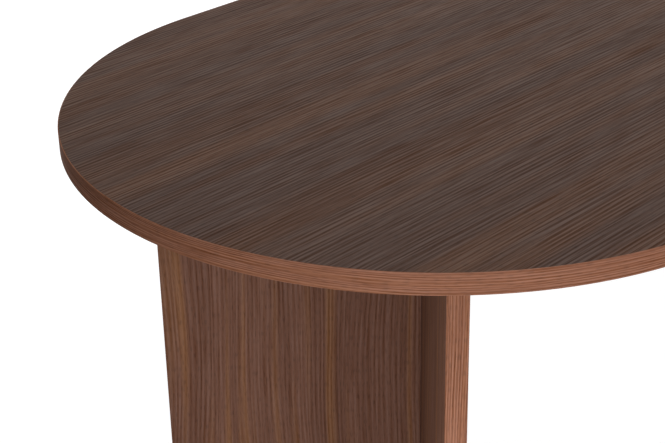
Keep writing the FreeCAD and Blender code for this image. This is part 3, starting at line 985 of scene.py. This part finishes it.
@dataclass
class VLeg:
    """Two panels joined at a right angle under one round end of the top."""

    side: Side
    half_angle: float = 45
    arris: float = 0.8 * MM
    board_arris: float = 0.3 * MM
    board_arris_steps: int = 2
    cap_round: float = 0.6 * MM
    cap_round_steps: int = 5
    cap_points: int = 48

    def axes(self, arm: Arm) -> Matrix:
        """Place a panel's axes: x along the arm, y through its thickness, z up.

        Args:
            arm: The panel.

        Returns:
            Placement of the axes in the frame.
        """
        top_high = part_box("tabletop_edging")[1]
        sign = -1 if self.side is Side.LEFT else 1
        turn = 180 if self.side is Side.LEFT else 0
        turn += self.half_angle if arm is Arm.THROUGH else -self.half_angle
        place = Matrix.Translation((sign * (top_high.x - top_high.y), 0, 0))
        return place @ Matrix.Rotation(math.radians(turn), 4, "Z")

    def node(self, part: str) -> str:
        """Give the CAD name of a part of this leg."""
        return f"{self.side.value}_{part}"

    def build(self) -> None:
        """Build and dress the panels, their edgings, the caps and the fittings."""
        for arm in Arm:
            self.build_panel(arm)
            self.build_upright(arm, f"{arm.value}_end_edging", outward=True)
            self.build_base(arm)
        self.build_upright(Arm.THROUGH, "apex_edging", outward=False)
        self.build_caps()
        for part, finish in (
            ("corner_cams", ZINC),
            ("top_cams", ZINC),
            ("corner_bolts", BOLT_STEEL),
            ("top_bolts", BOLT_STEEL),
            ("corner_dowels", BEECH),
            ("top_dowels", BEECH),
            ("foot_inserts", INSERT_STEEL),
        ):
            dress_node(self.node(part), finish)

    def lay(self, arm: Arm, node: str, finish: Finish, rings: list[Ring], runs: Pair) -> None:
        """Make a board or a strip of a panel, cut from the panel's own part of the print.

        Args:
            arm: The panel.
            node: CAD node that the piece stands for.
            finish: Finish of its surface.
            rings: Outlines of both ends, along the panel's axes.
            runs: Distance along the grain at both ends.
        """
        shell = Shell()
        shell.skin(rings, runs)
        piece = shell.piece(f"{node}_v", self.axes(arm), PRINT_CUTS[self.side, arm])
        settle(piece, finish, ROOT_BODY, node)

    def build_panel(self, arm: Arm) -> None:
        """Build one panel, its grain upright.

        Args:
            arm: The panel.
        """
        node = self.node(f"{arm.value}_panel")
        low, high = extents(node_points(node), self.axes(arm))
        section = rounded(
            (
                (low.x, low.y, self.board_arris),
                (high.x, low.y, self.board_arris),
                (high.x, high.y, self.board_arris),
                (low.x, high.y, self.board_arris),
            ),
            self.board_arris_steps,
        )
        rings = [[Vector((x, y, z)) for x, y in section] for z in (low.z, high.z)]
        self.lay(arm, node, LEG_DECOR, rings, (low.z, high.z))

    def build_upright(self, arm: Arm, part: str, outward: bool) -> None:
        """Build an upright edging strip, rounded at its outer arrises.

        Args:
            arm: The panel that carries the strip.
            part: Name of the strip's node within the leg.
            outward: True where the strip faces away from the corner.
        """
        node = self.node(part)
        low, high = extents(node_points(node), self.axes(arm))
        inner, outer = (low.x, high.x) if outward else (high.x, low.x)
        section = rounded(
            (
                (inner, low.y, 0),
                (outer, low.y, self.arris),
                (outer, high.y, self.arris),
                (inner, high.y, 0),
            )
        )
        rings = [[Vector((x, y, z)) for x, y in section] for z in (low.z, high.z)]
        self.lay(arm, node, EDGING, rings, (low.z, high.z))

    def build_base(self, arm: Arm) -> None:
        """Build the edging under a panel, rounded at its lower arrises.

        Args:
            arm: The panel that carries the strip.
        """
        node = self.node(f"{arm.value}_base_edging")
        low, high = extents(node_points(node), self.axes(arm))
        section = rounded(
            (
                (low.y, high.z, 0),
                (low.y, low.z, self.arris),
                (high.y, low.z, self.arris),
                (high.y, high.z, 0),
            )
        )
        rings = [[Vector((x, y, z)) for y, z in section] for x in (low.x, high.x)]
        self.lay(arm, node, EDGING, rings, (low.x, high.x))

    def build_caps(self) -> None:
        """Build the cover caps over the cam housings, as one piece."""
        node = self.node("cam_caps")
        shell = Shell()
        for points in islands(node):
            shell.skin(*self.cap_rings(points))
        settle(shell.piece(f"{node}_v", Matrix()), CAP_PLASTIC, ROOT_BODY, node)

    def cap_rings(self, points: Sequence[Vector]) -> tuple[list[Ring], list[float]]:
        """Shape one cap: a flat disc with a rounded rim.

        Args:
            points: Points of the cap's CAD solid.

        Returns:
            Rings of the cap, and the runs along them.
        """
        centre = sum(points, Vector()) / len(points)
        arm = min(Arm, key=lambda a: abs((self.axes(a).inverted() @ centre).y))
        axes = self.axes(arm)
        low, high = extents(points, axes)
        sign = 1 if arm is Arm.THROUGH else -1
        height = high.y - low.y
        radius = (high.x - low.x) / 2
        start = low.y if sign > 0 else high.y
        profile = [(radius, 0.0), (radius, height - self.cap_round)]
        for step in range(1, self.cap_round_steps + 1):
            angle = math.pi / 2 * step / self.cap_round_steps
            profile.append(
                (
                    radius - self.cap_round * (1 - math.cos(angle)),
                    height - self.cap_round * (1 - math.sin(angle)),
                )
            )
        middle = (low + high) / 2
        rings = [
            [axes @ Vector((middle.x + p.x, start + sign * p.z, middle.z + p.y)) for p in ring]
            for ring in turned(profile, self.cap_points)
        ]
        return rings, [0.0] * len(rings)


@dataclass
class LevellingFoot:
    """A threaded stud with a hexagon, and the glide moulded on its lower end.

    Each ring of the glide's profile is a share of its radius and a step from there, then a share
    of its height and a step from there.
    """

    side: Side
    place: FootPlace
    pitch: float = 1.25 * MM
    thread_depth: float = 0.6 * MM
    thread_points: int = 24
    thread_steps: int = 6
    hexagon: Pair = (5 * MM, 8 * MM)
    hexagon_chamfer: float = 0.5 * MM
    stud_diameter: float = 8 * MM
    flutes: int = 24
    flute_points: int = 6
    flute_depth: float = 0.3 * MM
    glide: tuple[tuple[float, float, float, float], ...] = (
        (0.55, 0, 0, 0),
        (1, -1.0 * MM, 0, 0),
        (1, -0.3 * MM, 0, 0.3 * MM),
        (1, 0, 0, 1.0 * MM),
        (1, 0, 0.5, 0),
        (1, -0.3 * MM, 0.5, 0.5 * MM),
        (0.8, 0, 0.6, 0.3 * MM),
        (0.7, 0, 1, -0.4 * MM),
        (0.67, 0, 1, 0),
    )

    @property
    def name(self) -> str:
        """Name of the foot, which its body and nodes share."""
        return f"{self.side.value}_{self.place.value}_foot"

    def build(self) -> None:
        """Build and dress the glide and the stud."""
        self.build_pad()
        self.build_stud()

    def build_pad(self) -> None:
        """Build the glide: a dished disc with a fluted rim."""
        node = f"{self.name}_pad"
        low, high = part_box(node)
        centre = (low + high) / 2
        radius = (high.x - low.x) / 2
        height = high.z - low.z
        profile = [
            (out * radius + out_step, up * height + up_step)
            for out, out_step, up, up_step in self.glide
        ]
        rings = turned(profile, self.flute_points * self.flutes)
        for ring, (ring_radius, _) in zip(rings, profile):
            if ring_radius < radius:
                continue
            for index, point in enumerate(ring):
                turn = 2 * math.pi * index / self.flute_points
                dip = self.flute_depth * (0.5 + 0.5 * math.cos(turn))
                point.xy *= 1 - dip / ring_radius
        shell = Shell()
        shell.skin(rings, [0.0] * len(rings))
        place = Matrix.Translation((centre.x, centre.y, low.z))
        settle(shell.piece(f"{node}_v", place), PAD_PLASTIC, self.name, node)

    def build_stud(self) -> None:
        """Build the stud: a chamfered hexagon under a threaded stem."""
        node = f"{self.name}_stud"
        low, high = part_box(node)
        centre = (low + high) / 2
        shell = Shell()
        flat = self.hexagon_flat(node)
        corner = flat / math.cos(math.pi / HEXAGON_SIDES)
        bottom, top = self.hexagon
        hexagon = turned(
            (
                (corner - self.hexagon_chamfer, bottom),
                (corner, bottom + 0.5 * self.hexagon_chamfer),
                (corner, top - 0.5 * self.hexagon_chamfer),
                (corner - self.hexagon_chamfer, top),
            ),
            HEXAGON_SIDES,
        )
        shell.skin(hexagon, [0.0] * len(hexagon))
        steps = round((high.z - top) / self.pitch * self.thread_steps)
        heights = [top + (high.z - top) * step / steps for step in range(steps + 1)]
        rings: list[Ring] = []
        for height in heights:
            ring: Ring = []
            taper = min(1.0, (high.z - height) / self.pitch)
            for index in range(self.thread_points):
                share = index / self.thread_points
                wave = abs(2 * ((height / self.pitch - share) % 1) - 1)
                radius = self.stud_diameter / 2 - self.thread_depth * (1 - wave * taper)
                angle = 2 * math.pi * share
                ring.append(Vector((radius * math.cos(angle), radius * math.sin(angle), height)))
            rings.append(ring)
        shell.skin(rings, heights)
        piece = shell.piece(f"{node}_v", Matrix.Translation((centre.x, centre.y, 0)))
        settle(piece, STUD_STEEL, self.name, node)

    @staticmethod
    def hexagon_flat(node: str) -> float:
        """Give half the hexagon's width across its flats."""
        low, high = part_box(node)
        return min(high.x - low.x, high.y - low.y) / 2


@dataclass(frozen=True)
class SoftBox:
    """A soft rectangular lamp: where it hangs, seen from its target, and how bright it is."""

    name: str
    azimuth: float
    elevation: float
    distance: float
    size: Pair
    level: float
    target: tuple[float, float, float] = (0.0, 0.0, 0.4)
    glossy: bool = True

    def hang(self) -> None:
        """Hang the lamp so that a white surface at the target renders at its level."""
        lamp = bpy.data.lights.new(self.name, "AREA")
        lamp.shape = "RECTANGLE"
        lamp.size, lamp.size_y = self.size
        lamp.energy = self.level * math.pi**2 * self.distance**2
        place = bpy.data.objects.new(self.name, lamp)
        turn, rise = math.radians(self.azimuth), math.radians(self.elevation)
        flat = math.cos(rise)
        back = Vector((math.cos(turn) * flat, math.sin(turn) * flat, math.sin(rise)))
        place.location = Vector(self.target) + back * self.distance
        place.rotation_mode = "QUATERNION"
        place.rotation_quaternion = back.to_track_quat("Z", "Y")
        place.visible_camera = False
        place.visible_glossy = self.glossy
        bpy.context.scene.collection.objects.link(place)


@dataclass
class Studio:
    """Floor, lights, background and camera."""

    boxes: tuple[SoftBox, ...] = (
        SoftBox("key", 265, 14, 5.0, (4.6, 1.8), 0.54),
        SoftBox("front", 210, -10, 1.0, (0.45, 0.4), 0.38, (-0.45, 0.0, 0.45)),
        SoftBox("rear", 66, 20, 5.0, (4.0, 1.8), 0.6, glossy=False),
        SoftBox("overhead", 40, 62, 3.6, (2.4, 2.4), 0.19),
        SoftBox("overhead_front", 250, 65, 3.6, (2.4, 2.4), 0.38),
    )
    floor_half: float = 12.0
    floor_paint: str = "#9a9a9a"
    floor_glow: float = 0.86
    floor_fade: Pair = (1.2, 4.0)
    camera_place: tuple[float, float, float] = (-1.813, -1.1488, 1.4685)
    camera_yaw: float = 44.1188
    camera_pitch: float = -26.4375
    camera_roll: float = -1.1776
    camera_lens: float = 85.3761
    camera_sensor: float = 36.0
    sky: float = 0.1

    def build(self) -> None:
        """Build everything that isn't part of the table."""
        self.build_floor()
        self.build_world()
        for box in self.boxes:
            box.hang()
        self.build_camera()

    @staticmethod
    def seen(tree: bpy.types.NodeTree) -> bpy.types.NodeSocket:
        """Tell the rays that show the background from those that light the table.

        Args:
            tree: Node tree of the floor or the world.

        Returns:
            One for camera, glossy and transmission rays, otherwise zero.
        """
        path = add_node(tree, "ShaderNodeLightPath")
        shiny = add_node(
            tree,
            "ShaderNodeMath",
            {0: path.outputs["Is Glossy Ray"], 1: path.outputs["Is Transmission Ray"]},
            operation="MAXIMUM",
        ).outputs[0]
        return add_node(
            tree,
            "ShaderNodeMath",
            {0: path.outputs["Is Camera Ray"], 1: shiny},
            operation="MAXIMUM",
        ).outputs[0]

    def build_floor(self) -> None:
        """Build the white floor, which keeps a faint shadow of the table."""
        shell = bmesh.new()
        size = self.floor_half
        corners = ((-size, -size), (size, -size), (size, size), (-size, size))
        shell.faces.new([shell.verts.new((x, y, 0)) for x, y in corners])
        data = bpy.data.meshes.new("floor")
        shell.to_mesh(data)
        shell.free()
        floor = bpy.data.objects.new("floor", data)
        bpy.context.scene.collection.objects.link(floor)
        material, tree = new_material("painted_floor_white")
        paint = add_node(tree, "ShaderNodeBsdfDiffuse", {"Color": linear(self.floor_paint)})
        place = add_node(tree, "ShaderNodeTexCoord").outputs["Object"]
        away = add_node(tree, "ShaderNodeVectorMath", {0: place}, operation="LENGTH")
        # The shadow shows near the table, and the floor fades to the white of the background.
        near, far = self.floor_fade
        white = add_node(
            tree,
            "ShaderNodeMapRange",
            {0: away.outputs["Value"], 1: near, 2: far, 3: self.floor_glow},
        )
        lift = add_node(
            tree,
            "ShaderNodeMath",
            {0: self.seen(tree), 1: white.outputs[0]},
            operation="MULTIPLY",
        )
        glow = add_node(tree, "ShaderNodeEmission", {"Strength": lift.outputs[0]})
        both = add_node(tree, "ShaderNodeAddShader", {0: paint.outputs[0], 1: glow.outputs[0]})
        add_node(tree, "ShaderNodeOutputMaterial", {0: both.outputs[0]})
        data.materials.append(material)

    def build_world(self) -> None:
        """Build the background: white to the eye, a weak sky to the table."""
        world = bpy.data.worlds.new("studio")
        bpy.context.scene.world = world
        world.use_nodes = True
        tree = world.node_tree
        tree.nodes.clear()
        sky = add_node(tree, "ShaderNodeBackground", {"Color": WHITE, "Strength": self.sky})
        white = add_node(tree, "ShaderNodeBackground", {"Color": WHITE, "Strength": 1.0})
        mix = add_node(
            tree,
            "ShaderNodeMixShader",
            {0: self.seen(tree), 1: sky.outputs[0], 2: white.outputs[0]},
        )
        add_node(tree, "ShaderNodeOutputWorld", {0: mix.outputs[0]})

    def build_camera(self) -> None:
        """Set up the camera at the photograph's viewpoint."""
        data = bpy.data.cameras.new("camera")
        data.lens = self.camera_lens
        data.sensor_width = self.camera_sensor
        camera = bpy.data.objects.new("camera", data)
        camera.matrix_world = (
            Matrix.Translation(self.camera_place)
            @ Matrix.Rotation(math.radians(self.camera_yaw - 90), 4, "Z")
            @ Matrix.Rotation(math.radians(90 + self.camera_pitch), 4, "X")
            @ Matrix.Rotation(math.radians(self.camera_roll), 4, "Z")
        )
        bpy.context.scene.collection.objects.link(camera)
        bpy.context.scene.camera = camera


def main() -> None:
    """Build the table, piece by piece, and its studio."""
    logging.basicConfig(level=logging.INFO, format="%(name)s: %(message)s")
    bpy.context.scene.view_settings.view_transform = "Standard"
    Tabletop().build()
    for side in Side:
        VLeg(side).build()
        for place in FootPlace:
            LevellingFoot(side, place).build()
    Studio().build()


if __name__ == "__main__":
    main()
